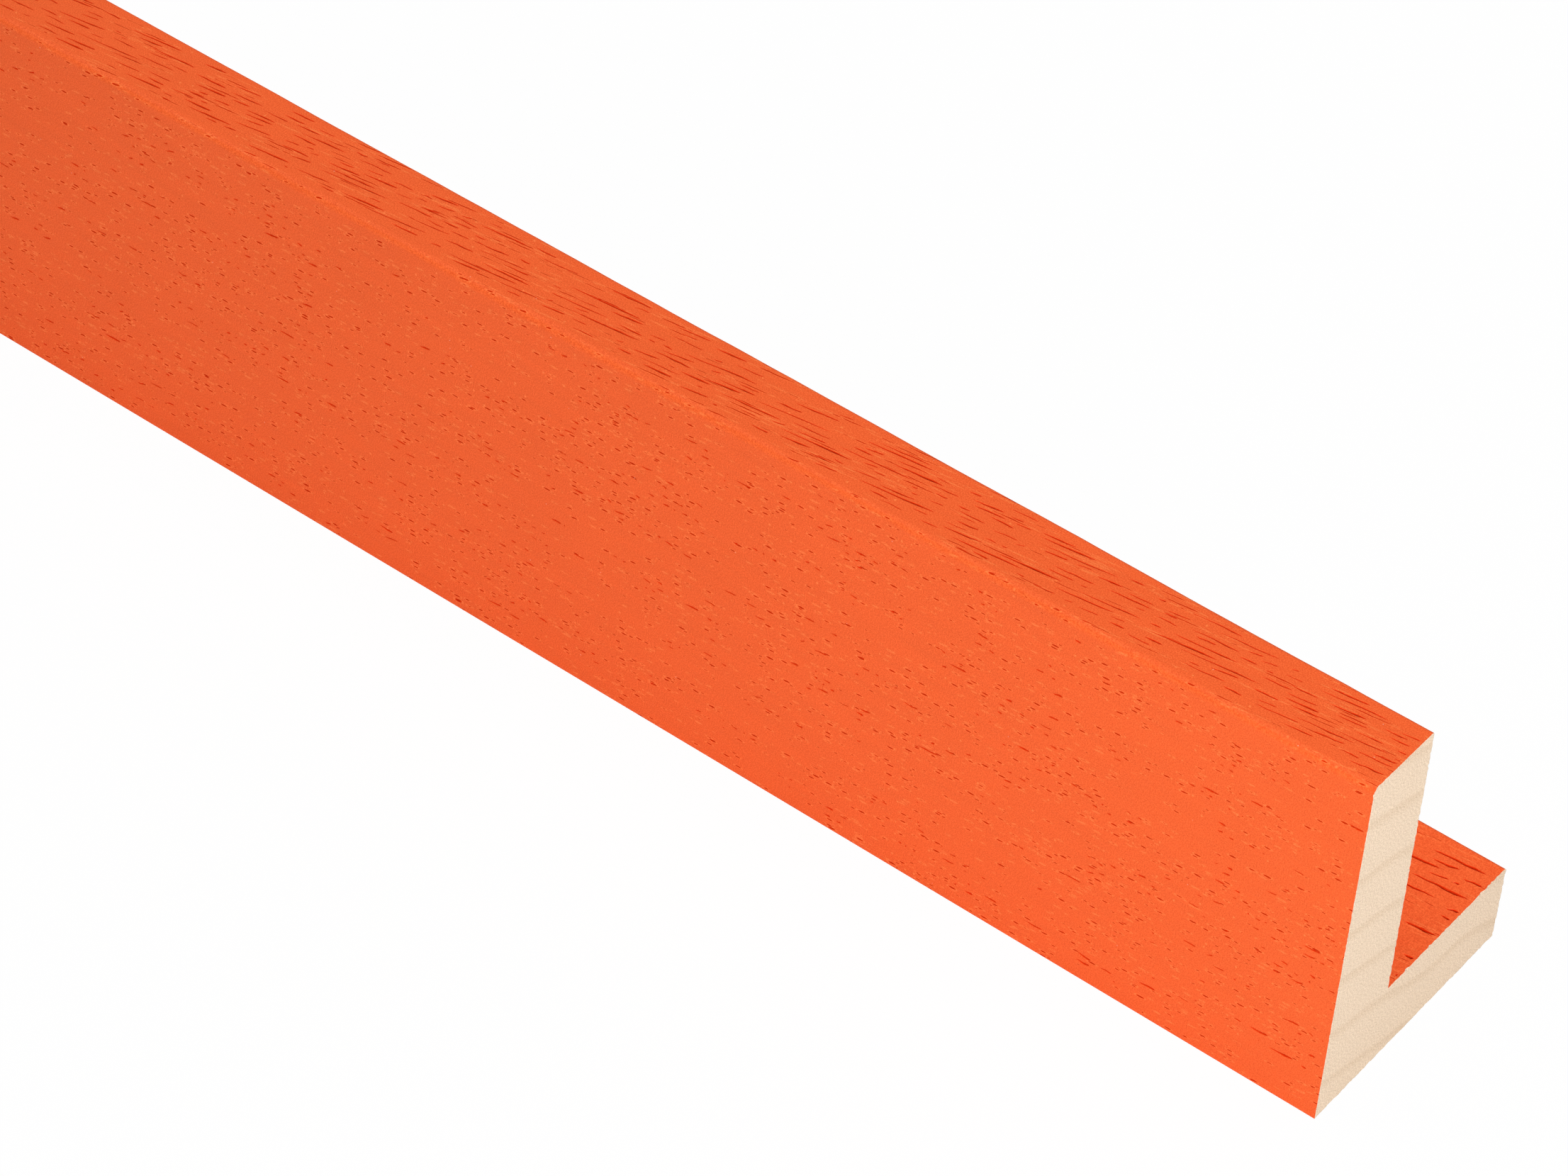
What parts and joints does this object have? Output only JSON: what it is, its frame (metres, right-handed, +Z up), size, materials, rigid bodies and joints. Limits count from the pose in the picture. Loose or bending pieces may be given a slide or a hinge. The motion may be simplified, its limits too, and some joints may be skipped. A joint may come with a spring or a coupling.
{
  "type": "picture frame moulding",
  "caption": "Straight length of L-shaped wooden picture frame moulding with a tall painted leg, a short foot that makes a deep rebate, eased arrises and square sawn ends.",
  "frame": {"origin": "on the underside, below the middle of the length and of the width", "axes": "+X along the length, -Y out of the painted show face, +Z up to the sight edge"},
  "size_m": [1, 0.032, 0.045],
  "materials": {
    "painted_wood": "satin"
  },
  "bodies": {
    "root": {"moulding": "painted_wood"}
  },
  "joints": []
}
